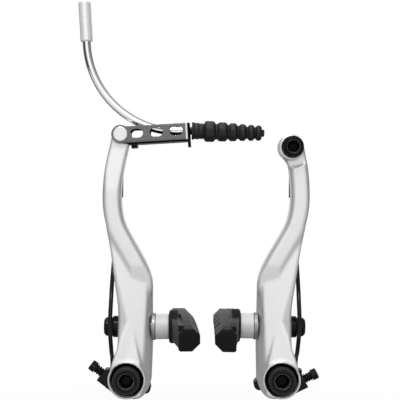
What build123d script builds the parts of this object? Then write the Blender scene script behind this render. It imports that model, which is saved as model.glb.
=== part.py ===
"""Linear pull rim brake: two arms, their shoes, return springs, link and cable guide pipe.

Millimetres. X runs to the viewer's right, Y away from the viewer towards the frame, Z up.
The origin lies halfway between the two pivot axes, in the plane of the shoe posts.
Pieces that come in pairs are drawn once, for the right hand side, about a pivot at the origin
with X pointing outwards, and are then seated on their own pivot.
"""
import os
from math import cos, degrees, radians, sin

from build123d import *

os.makedirs("parts", exist_ok=True)

# Layout of the two sides
PIVOT_SPACING = 71.0
LEFT_LEAN = 0.0
RIGHT_LEAN = 1.3
LEFT_SCREW_TURN = 0.0
RIGHT_SCREW_TURN = -11.0
LEFT_TOE = 4.3
RIGHT_TOE = 0.2
LEFT_SHOE_RISE = 0.9
RIGHT_SHOE_RISE = 0.1

# Clearances
RUN = 0.05
SLIP = 0.15
AIR = 0.3
DRIVE = 0.01

# Lengths that pass right through a piece
THROUGH = 40.0
SKY = 150.0

# Pivot
HOUSING_R = 8.6
HOUSING_FRONT = -10.5
HOUSING_REAR = 10.5
HOUSING_FOOT = 1.0
RING_WALL = 0.7
RECESS_R = HOUSING_R - RING_WALL
RECESS_DEPTH = 2.7
BUSH_BORE_R = 4.1
BUSH_WALL = 1.9
BUSH_R = BUSH_BORE_R + BUSH_WALL
BUSH_FLANGE = 1.0
BOLT_HEAD_R = 6.4
BOLT_HEAD_H = 4.2
BOLT_EASE = 0.7
BOLT_R = 2.9
BOLT_TIP = 13.0
HEX_ACROSS = 6.0
HEX_DEPTH = 3.0
HEX_LEAD = 0.55
KEY_ACROSS = 5.0

# Spring holder and its screw
HOLDER_R = 8.8
HOLDER_T = 6.0
HOLDER_BLOCK = (11.8, 9.0)
BLOCK_TOP = 0.5
LOBE_AT = 11.0
LOBE_R = 2.7
LOBE_ANGLE = -130.0
PEG_R = 1.3
PEG_LENGTH = 3.5
SCREW_HEAD_AT = (18.15, 1.7)
SCREW_SLOPE = 38.0
SCREW_HEAD_R = 2.6
SCREW_HEAD_H = 3.0
SCREW_CORE_R = 1.75
SCREW_R = 2.35
SCREW_PITCH = 1.3
SCREW_TIP = 8.0
SCREW_SPARE = 2.0
CROSS_HALF = 1.4
CROSS_W = 0.7
CROSS_DEPTH = 1.2
RIDGE_FOOT = 0.45
RIDGE_CREST = 0.1
SCREW_POINT = 0.8
LUG_START = 5.4
LUG_HALF = 3.8
LUG_L = 9.0

# Return spring
WIRE_R = 1.0
SLEEVE_R = 1.55
SLEEVE_LENGTH = 13.5
SLEEVE_CAP = 0.8
TAIL_X = 9.0
TAIL_BELOW = 3.0
TAIL_TOP = 1.5
WIRE_PATH = [
    (8.3, 6.8, 7.0),
    (7.6, -4.2, 13.6),
    (7.85, -6.7, 23.5),
    (7.75, -3.2, 36.0),
    (7.75, 7.4, 51.5),
    (5.3, 6.9, 76.0),
    (4.55, 6.5, 85.5),
]
WIRE_TOP = (4.4, 6.5, 96.0)

# Arm
BLADE_REAR = 7.0
SEAT_IN = -11.2
SEAT_OUT = 4.2
POST_Z = 23.1
SEAT_BELOW = 6.1
SEAT_ABOVE = 6.9
INNER_BELOW = 9.5
INNER_ABOVE = 18.4
BLADE_OUTER = [(4.7, 36.0), (6.25, 46.5), (7.4, 55.6), (8.75, 63.6)]
BLADE_TIP = (9.9, 70.6)
BLADE_INNER = [(4.0, 69.5), (-7.4, 52.6), (-10.3, 47.6)]
BARREL_SIDE = (-10.6, -1.5)
BARREL_MID = (-8.2, -6.7)
BARREL_FOOT = (-2.0, -8.3)
NECK_OUT = (5.9, 10.4)
SLOT_W = 6.4
SLOT_L = 12.4
BAR_W = 8.3
BAR_FRONT = -5.8
BAR_REAR = 4.6
BAR_BEVEL = 1.3
BAR_BEVEL_DEPTH = 1.25
BAR_EASE = 1.0
BAR_LINE = [
    (3.4, 110.6),
    (4.95, 103.5),
    (6.45, 96.1),
    (7.2, 89.0),
    (7.4, 82.0),
    (6.8, 76.0),
    (5.25, 70.0),
    (2.3, 64.0),
    (-1.2, 57.8),
    (-4.2, 52.3),
    (-6.6, 46.5),
    (-7.0, 39.0),
]
BAR_FADE = (52.0, 43.0)
BAR_FADE_DEPTH = 1.9
SKIRT_W = 4.2
SKIRT_DEPTH = 3.0
CREASE_OUT = (5.0, -5.0, 48.8)
CREASE_IN = (-7.6, -5.9, 25.3)
PANEL_TIP = (9.9, -3.5, 70.6)
SLOPE_FOOT = (-2.0, -8.8, 9.0)
ROUND_HIGH = (-9.2, -4.1, 44.0)
ROUND_LOW = (-7.2, -8.8, 2.0)
ROUND_EDGE = (-11.2, -2.6, 23.0)
PANEL_TOP_Z = 72.0
REAR_LOW_Z = 42.0
REAR_TOP_Z = 62.0
REAR_INSET = 0.4
WAIST_Z = 26.5
WAIST_IN = -0.4
WAIST_DROP = 2.4
WAIST_UPPER = (4.35, 45.5)
WAIST_LOWER = (3.9, 15.5)
RAMP_FOOT = (-8.0, 6.6, 7.6, -9.6)
RAMP_TOP = (-2.3, -1.7, -1.2, -2.8)
RAMP_HIGH = 24.0
RAMP_BASE = -5.0
RAMP_SINK = 0.3
HOOK_AT = (7.4, 86.0)
HOOK_W = 2.0
HOOK_L = 8.0
HOOK_H = 3.9
HOOK_SINK = 0.5
HOOK_EASE = 0.8

# Shoe hardware
POST_R = 2.95
POST_BORE_R = 3.15
DOME_R = 6.3
DOME_T = 3.0
SPHERE_R = 11.0
SPACER_R = 5.9
SPACER_L = 5.0
OUTER_R = 5.0
OUTER_DOME_T = 1.8
OUTER_CUP_T = 1.2
OUTER_SPHERE_R = 9.0
NUT_R = 4.35
NUT_L = 3.9
NUT_HEX_DEPTH = 2.4
NUT_EASE = 0.9
EASE = 0.4

# Shoe
SHOE_L = 66.0
SHOE_H = 10.4
SHOE_T = 9.3
SHOE_BEVEL = 3.4
SHOE_BACK_BEVEL = 2.6
SHOE_RADIUS = 310.0
NOSE_TAPER = 13.0
NOSE_DROP = 2.0
SHOE_EASE = 0.7
HUB_FOOT = 29.0
HUB_HEAD = 9.0
HUB_RISE = 1.9
HUB_HALF = 4.9
BACK_R = 7.8
BACK_T = 2.8
BACK_SINK = 1.2
GROOVE_W = 2.2
GROOVE_DEPTH = 2.6
GROOVE_PITCH = 10.0
GROOVE_AT = -2.5
GROOVES = 4

# Link
PIN_AT = (3.2, 112.9)
LINK_TILT = 3.3
PIN_R = 2.0
PIN_HEAD_R = 3.45
PIN_HEAD_T = 1.1
TONGUE_R = 4.1
TONGUE_HALF = 4.0
EAR_R = 4.26
EAR_FLAT = 0.05
SHEET = 1.4
LINK_END = 32.3
LINK_TOP = 3.45
LINK_BOTTOM = -5.0
LINK_BEND = 1.6
END_BEND = 1.1
LINK_HOLE = (6.1, 4.1)
LINK_HOLE_AT = 7.4
LINK_HOLE_PITCH = 9.2
LINK_HOLES = 3
WEB_START = 4.5
KEY_R = 2.1
KEY_SLOT = 3.0
TAIL_DROP = 6.2
TAIL_W = 7.0
STOP_L = 2.9
STOP_HALF = 3.0
STOP_DROP = 6.6
TAPER_LOW = 87.0
TAPER_HIGH = 106.2

# Cable guide pipe
PIPE_R = 1.95
PIPE_WALL = 0.75
PIPE_BORE_R = PIPE_R - PIPE_WALL
PIPE_BEND = 43.2
PIPE_BEND_END = 29.4
PIPE_RUN = 1.4
PIPE_SINK = 3.4
LINER_WALL = 0.3
FERRULE_BORE_R = 2.5
FERRULE_WALL = 0.4
FERRULE_R = FERRULE_BORE_R + FERRULE_WALL
FERRULE_L = 18.4
FERRULE_SOCKET = 14.0
NOSE_LIP = 0.4
NOSE_R = KEY_R + NOSE_LIP
NOSE_T = 0.9
NOSE_NECK_R = KEY_R - AIR
NOSE_L = 4.6

# Rubber boot
BOOT_STAND = 0.7
BOOT_AT = LINK_END + BOOT_STAND
BOOT_DROOP = 5.2
BOOT_PLAY = 0.75
BOOT_BORE_R = NOSE_NECK_R + BOOT_PLAY
BOOT_HOLE_R = 0.9
BOOT_NECK = [(0.0, 4.1), (1.0, 4.1), (1.5, 3.7), (3.0, 4.0), (3.5, 3.55), (4.9, 3.75), (5.5, 3.3)]
BOOT_RINGS = [
    (5.9, 10.9, 4.9),
    (12.1, 16.6, 4.5),
    (17.4, 21.2, 4.25),
    (22.1, 25.4, 3.95),
    (26.3, 29.3, 3.75),
    (29.9, 32.7, 3.6),
]
BOOT_GROOVE = 1.3
BOOT_ROUND = 0.6
BOOT_GAP = 0.4
BOOT_TIP_R = 1.65
BOOT_L = 34.0
BOOT_TIP = 1.2
BOOT_THROAT = 1.0
BOOT_FUNNEL = 2.0
BOOT_FUNNEL_R = 1.8

# Cable clamp
ANCHOR_AT = (2.7, 106.9)
BOSS_SHIFT = 0.45
BOSS_R = 5.9
BOSS_REAR = 0.0
ANCHOR_FRONT = -7.6
ANCHOR_BEVEL = 0.5
RELIEF_R = 9.3
RELIEF_DEPTH = 1.0
NECK_TOP = (-1.2, 101.9)
NECK_BEND = (0.15, 100.5)
NECK_BASE = (1.8, 97.4)
CLAMP_R = 5.15
CLAMP_T = 1.6
CLAMP_HEAD_R = 4.7
CLAMP_HEAD_H = 3.4
CLAMP_BOLT_R = 2.5
CLAMP_BOLT_L = 11.0
CLAMP_HEX_DEPTH = 2.4
CLAMP_HEX_LEAD = 0.5
CABLE_R = 0.85


def front(y):
    """A drawing plane at depth y that faces the viewer."""
    return Plane.XZ.offset(-y)


def facing(a, b, c):
    """The plane through three points, with its normal towards the viewer."""
    a, b, c = Vector(*a), Vector(*b), Vector(*c)
    normal = (b - a).cross(c - a)
    return Plane(a, x_dir=b - a, z_dir=normal if normal.Y < 0 else normal * -1)


def depth(face, x, z):
    """How deep a slanted face lies at a point of the front view."""
    lead = Vector(x, 0, z) - face.origin
    return face.origin.Y - (lead.X * face.z_dir.X + lead.Z * face.z_dir.Z) / face.z_dir.Y


def seat(piece, left):
    """Carry a piece drawn about the origin to its own pivot, mirrored for the left side."""
    placed = Pos(PIVOT_SPACING / 2, 0, 0) * Rot(0, LEFT_LEAN if left else RIGHT_LEAN, 0) * piece
    return mirror(placed, about=Plane.YZ) if left else placed


def hand_in(piece, name):
    """Label a finished piece and write its STEP file."""
    piece.label = name
    export_step(piece, f"parts/{name}.step")


# Faces that meet on the front of the blade: a sunk panel above, a slope up to the housing below
panel_face = facing(CREASE_OUT, CREASE_IN, PANEL_TIP)
slope_face = facing(CREASE_OUT, CREASE_IN, SLOPE_FOOT)
round_face = facing(ROUND_HIGH, ROUND_LOW, ROUND_EDGE)
fade_top = [(x, BAR_FRONT, BAR_FADE[0]) for x in (SEAT_IN, SEAT_OUT)]
fade_face = facing(*fade_top, (SEAT_IN, BAR_FRONT + BAR_FADE_DEPTH, BAR_FADE[1]))

# Hollow that gives the outer side of the blade its waist
apex = (WAIST_IN, depth(slope_face, WAIST_IN, WAIST_Z), WAIST_Z)
waist = (SEAT_OUT, depth(slope_face, SEAT_OUT, WAIST_Z) + WAIST_DROP, WAIST_Z)
with BuildPart() as scoop:
    with BuildSketch(front(0)):
        with Locations((0, WAIST_Z)):
            Rectangle(2 * THROUGH, 3 * THROUGH)
    extrude(amount=THROUGH)
    for x, z in (WAIST_UPPER, WAIST_LOWER):
        split(bisect_by=facing(apex, (x, depth(slope_face, x, z), z), waist), keep=Keep.TOP)

# Outline of the lower blade, from the foot of the housing to its tip beside the bar
with BuildSketch(front(0)) as blade_outline:
    with BuildLine():
        seat_line = Line((SEAT_OUT, POST_Z - SEAT_BELOW), (SEAT_OUT, POST_Z + SEAT_ABOVE))
        Spline(seat_line @ 1, *BLADE_OUTER, BLADE_TIP, tangents=[(0, 1), (0.13, 1)])
        inner = Polyline(
            BLADE_TIP, *BLADE_INNER, (SEAT_IN, POST_Z + INNER_ABOVE), (SEAT_IN, POST_Z - INNER_BELOW), BARREL_SIDE
        )
        barrel = ThreePointArc(inner @ 1, BARREL_MID, BARREL_FOOT)
        foot = Line(barrel @ 1, (HOUSING_R - 2 * RAMP_SINK, HOUSING_FOOT))
        Spline(foot @ 1, NECK_OUT, seat_line @ 0, tangents=[(-0.15, 1), (0, 1)])
    make_face()


def blade_behind(face):
    """The blade's outline with one face as its front, a thinner upper end and a rounded inner edge."""
    with BuildPart() as layer:
        with BuildSketch(front(BLADE_REAR)):
            add(blade_outline.sketch_local)
        extrude(amount=BLADE_REAR - HOUSING_FRONT)
        with BuildSketch(Plane.YZ):
            Polygon(
                (HOUSING_FRONT, -HOUSING_R), (HOUSING_FRONT, PANEL_TOP_Z), (BAR_REAR - REAR_INSET, PANEL_TOP_Z),
                (BAR_REAR - REAR_INSET, REAR_TOP_Z), (BLADE_REAR, REAR_LOW_Z), (BLADE_REAR, -HOUSING_R), align=None,
            )
        extrude(amount=THROUGH, both=True, mode=Mode.INTERSECT)
        split(bisect_by=face, keep=Keep.BOTTOM)
        split(bisect_by=round_face, keep=Keep.BOTTOM)
    return layer.part


with BuildPart() as blade:
    add(blade_behind(panel_face))
    add(blade_behind(slope_face))
    add(scoop.part, mode=Mode.SUBTRACT)

# Bowed upper bar of the arm, one bevelled section swept down its centre line
with BuildPart() as bar:
    with BuildLine() as bar_line:
        Spline(*[(x, 0, z) for x, z in BAR_LINE])
    with BuildSketch(Plane(bar_line.line @ 0, x_dir=(0, 1, 0), z_dir=bar_line.line % 0)):
        half = BAR_W / 2
        with BuildLine():
            Polyline(
                (BAR_FRONT, 0), (BAR_FRONT, half - BAR_BEVEL), (BAR_FRONT + BAR_BEVEL_DEPTH, half),
                (BAR_REAR - BAR_EASE, half), (BAR_REAR, half - BAR_EASE), (BAR_REAR, 0),
            )
            mirror(about=Plane.XZ)
        make_face()
    sweep(path=bar_line.line)
    split(bisect_by=fade_face, keep=Keep.BOTTOM)

# Flank that falls from the bar's outer edge to the sunk panel
with BuildPart() as skirt:
    with BuildSketch(Plane(bar_line.line @ 0, x_dir=(0, 1, 0), z_dir=bar_line.line % 0)):
        crest = BAR_W / 2 - BAR_BEVEL
        Polygon(
            (BAR_FRONT, 0), (BAR_FRONT, crest), (BAR_FRONT + SKIRT_DEPTH, crest + SKIRT_W),
            (BAR_FRONT + SKIRT_DEPTH, 0), align=None,
        )
    sweep(path=bar_line.line)
    with BuildSketch(front(0)):
        add(blade_outline.sketch_local)
    extrude(amount=THROUGH, both=True, mode=Mode.INTERSECT)
    split(bisect_by=fade_face, keep=Keep.BOTTOM)

# Ramp from the blade's slope up to the pivot housing
with BuildPart() as ramp:
    for height, width, face in (
        (HOUSING_FOOT, RAMP_FOOT, HOUSING_FRONT + RAMP_SINK),
        (RAMP_HIGH, RAMP_TOP, depth(slope_face, RAMP_TOP[0], RAMP_HIGH)),
    ):
        with BuildSketch(Plane.XY.offset(height)):
            Polygon(
                (width[0], face), (width[1], face), (width[2], RAMP_BASE), (width[3], RAMP_BASE), align=None
            )
    loft(ruled=True)

# Arm forging shared by both sides
with BuildPart() as arm_core:
    add(blade.part)
    add(bar.part)
    add(skirt.part)
    add(ramp.part)
    with BuildSketch(front(HOUSING_REAR)):
        Circle(HOUSING_R)
    extrude(amount=HOUSING_REAR - HOUSING_FRONT)
    with BuildSketch(front(HOUSING_FRONT)):
        Circle(RECESS_R)
    extrude(amount=-RECESS_DEPTH, mode=Mode.SUBTRACT)
    with BuildSketch(front(0)):
        Circle(BUSH_R + RUN)
    extrude(amount=THROUGH, both=True, mode=Mode.SUBTRACT)
    with BuildSketch(Plane.YZ):
        with Locations((0, POST_Z)):
            SlotOverall(SLOT_L, SLOT_W, rotation=90)
    extrude(amount=THROUGH, both=True, mode=Mode.SUBTRACT)
    with BuildSketch(front(BAR_REAR - HOOK_SINK)):
        with Locations(HOOK_AT):
            RectangleRounded(HOOK_W, HOOK_L, HOOK_EASE)
    extrude(amount=-HOOK_H)

# Left arm, with the tongue that carries the link
with BuildPart() as link_arm:
    add(arm_core.part)
    with BuildSketch(Plane.YZ):
        for skin, way in ((BAR_FRONT, -1), (BAR_REAR, 1)):
            Polygon(
                (THROUGH * way, TAPER_LOW), (skin, TAPER_LOW), (TONGUE_HALF * way, TAPER_HIGH),
                (TONGUE_HALF * way, SKY), (THROUGH * way, SKY), align=None,
            )
    extrude(amount=THROUGH, both=True, mode=Mode.SUBTRACT)
    with BuildSketch(front(TONGUE_HALF)):
        with Locations(PIN_AT):
            Circle(TONGUE_R)
    extrude(amount=2 * TONGUE_HALF)
    with BuildSketch(front(0)):
        with Locations(PIN_AT):
            Circle(PIN_R + DRIVE)
    extrude(amount=THROUGH, both=True, mode=Mode.SUBTRACT)

# Right arm, with the round end and boss that anchor the cable
BOSS_AT = (ANCHOR_AT[0] - BOSS_SHIFT, ANCHOR_AT[1])
with BuildPart() as anchor_arm:
    add(arm_core.part)
    with BuildSketch(front(BAR_FRONT + RELIEF_DEPTH)):
        with Locations(ANCHOR_AT):
            Circle(RELIEF_R)
    extrude(amount=THROUGH, mode=Mode.SUBTRACT)
    with BuildSketch(front(0)):
        with Locations(BOSS_AT):
            Rectangle(THROUGH, THROUGH, align=(Align.CENTER, Align.MIN))
            Circle(BOSS_R, mode=Mode.SUBTRACT)
    extrude(amount=THROUGH, both=True, mode=Mode.SUBTRACT)
    with BuildSketch(front(BOSS_REAR)):
        with Locations(BOSS_AT):
            Circle(BOSS_R)
    extrude(amount=BOSS_REAR - ANCHOR_FRONT)
    rims = anchor_arm.edges().filter_by(GeomType.CIRCLE).filter_by(lambda e: abs(e.radius - BOSS_R) < 1e-6)
    chamfer(rims.sort_by(Axis.Y)[0], ANCHOR_BEVEL)
    with BuildSketch(front(BOSS_REAR)):
        with BuildLine():
            ThreePointArc(NECK_TOP, NECK_BEND, NECK_BASE)
            Polyline(NECK_BASE, (BOSS_AT[0] + BAR_W / 4, NECK_BASE[1]), BOSS_AT, NECK_TOP)
        make_face()
    extrude(amount=BOSS_REAR - BAR_FRONT - RELIEF_DEPTH)
    with BuildSketch(front(0)):
        with Locations(ANCHOR_AT):
            Circle(CLAMP_BOLT_R + DRIVE)
    extrude(amount=THROUGH, both=True, mode=Mode.SUBTRACT)

# Pivot bushing that the arm turns on
FLANGE_FRONT = HOUSING_FRONT + RECESS_DEPTH - SLIP - BUSH_FLANGE
HOLDER_FRONT = HOUSING_REAR + AIR
HOLDER_REAR = HOLDER_FRONT + HOLDER_T
HOLDER_MID = HOLDER_FRONT + HOLDER_T / 2
with BuildPart() as bushing:
    with BuildSketch(front(HOLDER_REAR)):
        Circle(BUSH_R)
    extrude(amount=HOLDER_REAR - FLANGE_FRONT)
    with BuildSketch(front(FLANGE_FRONT)):
        Circle(RECESS_R - AIR)
    extrude(amount=-BUSH_FLANGE)
    with BuildSketch(front(0)):
        Circle(BUSH_BORE_R)
    extrude(amount=THROUGH, both=True, mode=Mode.SUBTRACT)

# Fixing bolt
HEAD_FRONT = FLANGE_FRONT - BOLT_HEAD_H
with BuildPart() as fixing_bolt:
    with BuildSketch(front(FLANGE_FRONT)):
        Circle(BOLT_HEAD_R)
    extrude(amount=BOLT_HEAD_H)
    fillet(fixing_bolt.edges().sort_by(Axis.Y)[0], BOLT_EASE)
    with BuildSketch(front(BOLT_TIP)):
        Circle(BOLT_R)
    extrude(amount=BOLT_TIP - FLANGE_FRONT)
    chamfer(fixing_bolt.edges().sort_by(Axis.Y)[-1], BOLT_R / 4)
    with BuildSketch(front(HEAD_FRONT)):
        RegularPolygon(HEX_ACROSS / 2, 6, major_radius=False)
    extrude(amount=-HEX_DEPTH, mode=Mode.SUBTRACT)
    with BuildSketch(front(HEAD_FRONT)):
        Circle(HEX_ACROSS / 2 + HEX_LEAD)
    extrude(amount=-HEX_LEAD, taper=45, mode=Mode.SUBTRACT)


# Spring holder and tension screw
def screw_plane(turn):
    """The plane that holds the screw's axis as its x direction, for a lug turned about the pivot."""
    head = Pos(SCREW_HEAD_AT[0], 0, SCREW_HEAD_AT[1]) * Rot(0, -SCREW_SLOPE, 0)
    place = Pos(0, HOLDER_MID, 0) * Rot(0, -turn, 0) * head
    origin = place.position
    return Plane(origin, x_dir=(place * Pos(-1, 0, 0)).position - origin, z_dir=(0, -1, 0))


def spring_holder(turn):
    """The plastic ring behind the housing, with its screw lug and peg turned to suit the side."""
    lug = screw_plane(turn)
    with BuildPart() as holder:
        with BuildSketch(front(HOLDER_REAR)):
            Circle(HOLDER_R)
            with Locations((HOLDER_BLOCK[0] / 2, BLOCK_TOP - HOLDER_BLOCK[1] / 2)):
                Rectangle(*HOLDER_BLOCK)
            with PolarLocations(LOBE_AT, 1, LOBE_ANGLE + turn):
                Circle(LOBE_R)
        extrude(amount=HOLDER_T)
        with BuildSketch(lug.offset(-HOLDER_T / 2)):
            with Locations((LUG_START + LUG_L / 2, 0)):
                Rectangle(LUG_L, 2 * LUG_HALF)
        extrude(amount=HOLDER_T)
        with BuildSketch(front(0)):
            Circle(BUSH_R + RUN)
        extrude(amount=THROUGH, both=True, mode=Mode.SUBTRACT)
        with BuildSketch(Plane(lug.origin, x_dir=(0, 1, 0), z_dir=lug.x_dir)):
            Circle(SCREW_R + RUN)
        extrude(amount=SCREW_TIP + SCREW_SPARE, mode=Mode.SUBTRACT)
        with BuildSketch(Plane.XY.offset(-TAIL_BELOW - AIR)):
            with Locations((TAIL_X, HOLDER_MID)):
                Circle(WIRE_R + RUN)
        extrude(amount=THROUGH, mode=Mode.SUBTRACT)
        with BuildSketch(front(0)):
            with Locations((TAIL_X - WIRE_R - AIR, BLOCK_TOP)):
                Rectangle(THROUGH, THROUGH, align=Align.MIN)
        extrude(amount=THROUGH, both=True, mode=Mode.SUBTRACT)
        with BuildSketch(front(HOLDER_REAR)):
            with PolarLocations(LOBE_AT, 1, LOBE_ANGLE + turn):
                Circle(PEG_R)
        extrude(amount=-PEG_LENGTH)
    return holder.part


def tension_screw(turn):
    """The ridged screw, turned as one profile about its own axis."""
    axis = screw_plane(turn)
    head = SCREW_HEAD_H / 2
    ridges = int((SCREW_TIP - SCREW_POINT - RIDGE_FOOT - head) / SCREW_PITCH)
    profile = [(-head, 0), (-head, SCREW_HEAD_R - EASE), (EASE - head, SCREW_HEAD_R)]
    profile += [(head, SCREW_HEAD_R), (head, SCREW_CORE_R)]
    for i in range(ridges):
        at = head + (i + 0.5) * SCREW_PITCH
        profile += [(at - RIDGE_FOOT, SCREW_CORE_R), (at - RIDGE_CREST, SCREW_R)]
        profile += [(at + RIDGE_CREST, SCREW_R), (at + RIDGE_FOOT, SCREW_CORE_R)]
    profile += [(SCREW_TIP - SCREW_POINT, SCREW_CORE_R), (SCREW_TIP, SCREW_CORE_R - SCREW_POINT)]
    profile += [(SCREW_TIP, 0)]
    with BuildPart() as screw:
        with BuildSketch(axis):
            Polygon(*profile, align=None)
        revolve(axis=Axis(axis.origin, axis.x_dir))
        with BuildSketch(Plane(axis.origin - axis.x_dir * head, x_dir=(0, 1, 0), z_dir=axis.x_dir)):
            Rectangle(2 * CROSS_HALF, CROSS_W)
            Rectangle(CROSS_W, 2 * CROSS_HALF)
        extrude(amount=CROSS_DEPTH, mode=Mode.SUBTRACT)
    return screw.part


# Return spring: straight tail in the holder, a bow in front of the nut, a straight top behind the bar
with BuildPart() as return_spring:
    with BuildLine() as wire:
        tail = Line((TAIL_X, HOLDER_MID, -TAIL_BELOW), (TAIL_X, HOLDER_MID, TAIL_TOP))
        rise = (Vector(*WIRE_TOP) - Vector(*WIRE_PATH[-1])).normalized()
        bow = Spline(tail @ 1, *WIRE_PATH, tangents=[(0, 0, 1), rise])
        Line(bow @ 1, WIRE_TOP)
    with BuildSketch(Plane(tail @ 0, z_dir=(0, 0, 1))):
        Circle(WIRE_R)
    sweep(path=wire.wires()[0])

with BuildPart() as spring_sleeve:
    crown = Vector(*WIRE_TOP) + rise * (SLEEVE_CAP + AIR)
    with BuildSketch(Plane(crown, z_dir=rise * -1)):
        Circle(SLEEVE_R)
    extrude(amount=SLEEVE_LENGTH)
    fillet(spring_sleeve.edges().sort_by(Axis.Z)[-1], SLEEVE_R / 3)
    with BuildSketch(Plane(crown - rise * SLEEVE_CAP, z_dir=rise * -1)):
        Circle(WIRE_R + RUN)
    extrude(amount=SLEEVE_LENGTH, mode=Mode.SUBTRACT)


# Shoe hardware: rings turned about the post
POST_AXIS = Axis((0, 0, POST_Z), (1, 0, 0))


def sphere_x(centre, radius, r, way):
    """Where a sphere's surface lies along the post, at distance r from the post's axis."""
    return centre + way * (radius**2 - r**2) ** 0.5


def dome(face, thickness, radius, outer, way):
    """A washer flat against a face and domed away from it; way is the side it bulges to."""
    crest = face + way * thickness
    centre = crest - way * (radius**2 - POST_BORE_R**2) ** 0.5
    edge = sphere_x(centre, radius, outer, way)
    mid = (POST_BORE_R + outer) / 2
    bore_z, outer_z = POST_Z + POST_BORE_R, POST_Z + outer
    with BuildPart() as ring:
        with BuildSketch(Plane.XZ):
            with BuildLine():
                Polyline((edge, outer_z), (face, outer_z), (face, bore_z), (crest, bore_z))
                bulge = (sphere_x(centre, radius, mid, way), POST_Z + mid)
                ThreePointArc((crest, bore_z), bulge, (edge, outer_z))
            make_face()
        revolve(axis=POST_AXIS)
    return ring.part


def cup(face, thickness, radius, outer, back, way):
    """A ring hollowed to sit on that dome, with a flat back."""
    crest = face + way * (thickness + RUN)
    centre = crest - way * (radius**2 - POST_BORE_R**2) ** 0.5
    edge = sphere_x(centre, radius, outer, way)
    mid = (POST_BORE_R + outer) / 2
    bore_z, outer_z = POST_Z + POST_BORE_R, POST_Z + outer
    with BuildPart() as ring:
        with BuildSketch(Plane.XZ):
            with BuildLine():
                Polyline(
                    (edge, outer_z), (back - way * EASE, outer_z), (back, outer_z - EASE), (back, bore_z),
                    (crest, bore_z),
                )
                bulge = (sphere_x(centre, radius, mid, way), POST_Z + mid)
                ThreePointArc((crest, bore_z), bulge, (edge, outer_z))
            make_face()
        revolve(axis=POST_AXIS)
    return ring.part


SPACER_BACK = SEAT_IN - DOME_T - SPACER_L
CUP_BACK = SEAT_OUT + OUTER_DOME_T + OUTER_CUP_T
NUT_END = CUP_BACK + NUT_L
inner_dome = dome(SEAT_IN, DOME_T, SPHERE_R, DOME_R, -1)
inner_spacer = cup(SEAT_IN, DOME_T, SPHERE_R, SPACER_R, SPACER_BACK, -1)
outer_dome = dome(SEAT_OUT, OUTER_DOME_T, OUTER_SPHERE_R, OUTER_R, 1)
outer_cup = cup(SEAT_OUT, OUTER_DOME_T, OUTER_SPHERE_R, OUTER_R, CUP_BACK, 1)

with BuildPart() as shoe_nut:
    with BuildSketch(Plane.YZ.offset(CUP_BACK)):
        with Locations((0, POST_Z)):
            Circle(NUT_R)
            Circle(POST_R + RUN, mode=Mode.SUBTRACT)
    extrude(amount=NUT_L - NUT_HEX_DEPTH)
    with BuildSketch(Plane.YZ.offset(NUT_END - NUT_HEX_DEPTH)):
        with Locations((0, POST_Z)):
            Circle(NUT_R)
            RegularPolygon(KEY_ACROSS / 2, 6, major_radius=False, mode=Mode.SUBTRACT)
    extrude(amount=NUT_HEX_DEPTH)
    chamfer(shoe_nut.edges().filter_by(GeomType.CIRCLE).sort_by(Axis.X)[-1], NUT_EASE)

with BuildPart() as shoe_post:
    with BuildSketch(Plane.YZ.offset(SPACER_BACK - BACK_T)):
        with Locations((0, POST_Z)):
            Circle(POST_R)
    extrude(amount=NUT_END - NUT_HEX_DEPTH - AIR - (SPACER_BACK - BACK_T))


with BuildPart() as shoe_collar:
    with BuildSketch(Plane.YZ.offset(SPACER_BACK)):
        with Locations((0, POST_Z)):
            Circle(BACK_R)
    extrude(amount=-BACK_T - BACK_SINK)
    chamfer(shoe_collar.edges().sort_by(Axis.X)[-1], SHOE_EASE)


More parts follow.
